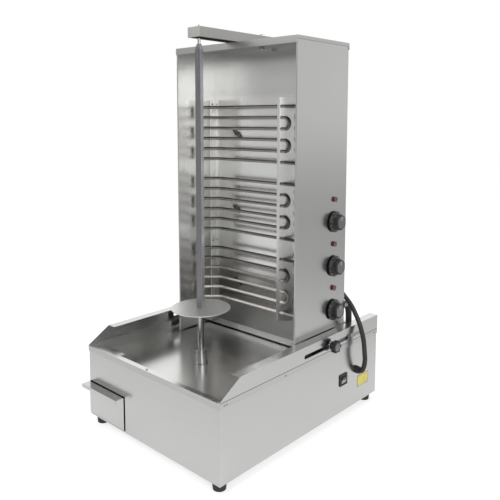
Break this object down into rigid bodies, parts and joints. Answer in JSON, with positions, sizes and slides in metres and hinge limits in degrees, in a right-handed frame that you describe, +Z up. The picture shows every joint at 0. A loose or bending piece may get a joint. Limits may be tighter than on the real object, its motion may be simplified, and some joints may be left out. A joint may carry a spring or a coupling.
{
  "type": "doner kebab grill",
  "caption": "Upright electric grill: a heater tower slides over a drip tray base towards a turning spit, with a knob and a lamp for each heater and a fat drawer.",
  "frame": {"origin": "centre of the part's footprint on the surface that it stands on, without the hoses", "axes": "+X towards the side with the controls, +Y towards the back, +Z up"},
  "size_m": [0.5098, 0.6165, 0.9664],
  "materials": {
    "brushed_sheet": "brushed",
    "bright_sheet": "satin",
    "turned_steel": "polished",
    "heater_sheath": "heat-tinted satin",
    "cast_grey": "cast",
    "black_plastic": "satin",
    "ceramic_white": "matt",
    "black_rubber": "matt",
    "red_lens": "gloss",
    "yellow_film": "satin",
    "dark_steel": "oiled"
  },
  "bodies": {
    "base_body": {"base_housing": "brushed_sheet", "base_floor": "brushed_sheet", "drip_tray": "bright_sheet", "left_guard": "brushed_sheet", "right_guard": "brushed_sheet", "tray_rivets": "dark_steel", "foot_front_left": "black_rubber", "foot_front_right": "black_rubber", "foot_rear_left": "black_rubber", "foot_rear_right": "black_rubber", "drawer_rails": "brushed_sheet", "gear_motor": "cast_grey", "gearbox": "cast_grey", "motor_bracket": "brushed_sheet", "terminal_box": "ceramic_white", "rocker_bezel": "black_plastic", "blank_plate": "yellow_film", "base_gland": "black_plastic", "mains_inlet": "black_plastic", "deck_gland": "black_plastic", "main_hose": "black_rubber", "short_hose": "black_rubber"},
    "tower_body": {"tower_shell": "brushed_sheet", "top_cover": "brushed_sheet", "back_panel": "bright_sheet", "bottom_ledge": "bright_sheet", "control_box": "brushed_sheet", "left_bracket": "bright_sheet", "right_bracket": "bright_sheet", "upper_heater": "heater_sheath", "middle_heater": "heater_sheath", "lower_heater": "heater_sheath", "heater_clips": "dark_steel", "upper_regulator": "ceramic_white", "middle_regulator": "ceramic_white", "lower_regulator": "ceramic_white", "upper_lamp": "red_lens", "middle_lamp": "red_lens", "lower_lamp": "red_lens", "left_slider": "brushed_sheet", "right_slider": "brushed_sheet", "tower_gland": "black_plastic", "tower_elbow": "turned_steel", "arm_bolt": "dark_steel"},
    "arm_body": {"arm": "brushed_sheet"},
    "spit_body": {"spit_pin": "turned_steel", "spit_tube": "brushed_sheet", "spit_disc": "brushed_sheet", "spit_rod": "turned_steel", "spit_collar": "turned_steel", "drive_shaft": "dark_steel"},
    "drawer_body": {"drawer_pan": "brushed_sheet", "drawer_front": "brushed_sheet"},
    "upper_knob_body": {"upper_knob": "black_plastic"},
    "middle_knob_body": {"middle_knob": "black_plastic"},
    "lower_knob_body": {"lower_knob": "black_plastic"},
    "left_clamp_body": {"left_clamp_knob": "black_plastic"},
    "right_clamp_body": {"right_clamp_knob": "black_plastic"},
    "rocker_body": {"rocker_key": "black_plastic"}
  },
  "joints": [
    {"name": "tower_slide", "type": "slide", "parent": "base_body", "child": "tower_body", "axis": [0, 1, 0], "range_m": [-0.095, 0.02], "deforming": ["main_hose", "short_hose"]},
    {"name": "arm_slide", "type": "slide", "parent": "tower_body", "child": "arm_body", "axis": [0, 1, 0], "range_m": [-0.02, 0.095]},
    {"name": "spit_spin", "type": "hinge", "parent": "base_body", "child": "spit_body", "pos_m": [0, -0.12056, 0.30297], "axis": [0, 0, 1], "continuous": true},
    {"name": "drawer_slide", "type": "slide", "parent": "base_body", "child": "drawer_body", "axis": [0, -1, 0], "range_m": [0, 0.118]},
    {"name": "lower_knob_turn", "type": "hinge", "parent": "tower_body", "child": "lower_knob_body", "pos_m": [0.204, 0.13745, 0.28091], "axis": [-1, 0, 0], "range_deg": [0, 270]},
    {"name": "middle_knob_turn", "type": "hinge", "parent": "tower_body", "child": "middle_knob_body", "pos_m": [0.204, 0.13745, 0.39141], "axis": [-1, 0, 0], "range_deg": [0, 270]},
    {"name": "upper_knob_turn", "type": "hinge", "parent": "tower_body", "child": "upper_knob_body", "pos_m": [0.204, 0.13745, 0.50191], "axis": [-1, 0, 0], "range_deg": [0, 270]},
    {"name": "left_clamp_turn", "type": "hinge", "parent": "tower_body", "child": "left_clamp_body", "pos_m": [-0.23, 0.09247, 0.20795], "axis": [-1, 0, 0], "range_deg": [-360, 0]},
    {"name": "right_clamp_turn", "type": "hinge", "parent": "tower_body", "child": "right_clamp_body", "pos_m": [0.23, 0.09247, 0.20795], "axis": [1, 0, 0], "range_deg": [-360, 0]},
    {"name": "rocker_tilt", "type": "hinge", "parent": "base_body", "child": "rocker_body", "pos_m": [0.2285, 0.14944, 0.10312], "axis": [0, 1, 0], "range_deg": [-16, 0]}
  ],
  "couplings": [
    {"joint": "arm_slide", "follows": "tower_slide", "ratio": -1}
  ]
}
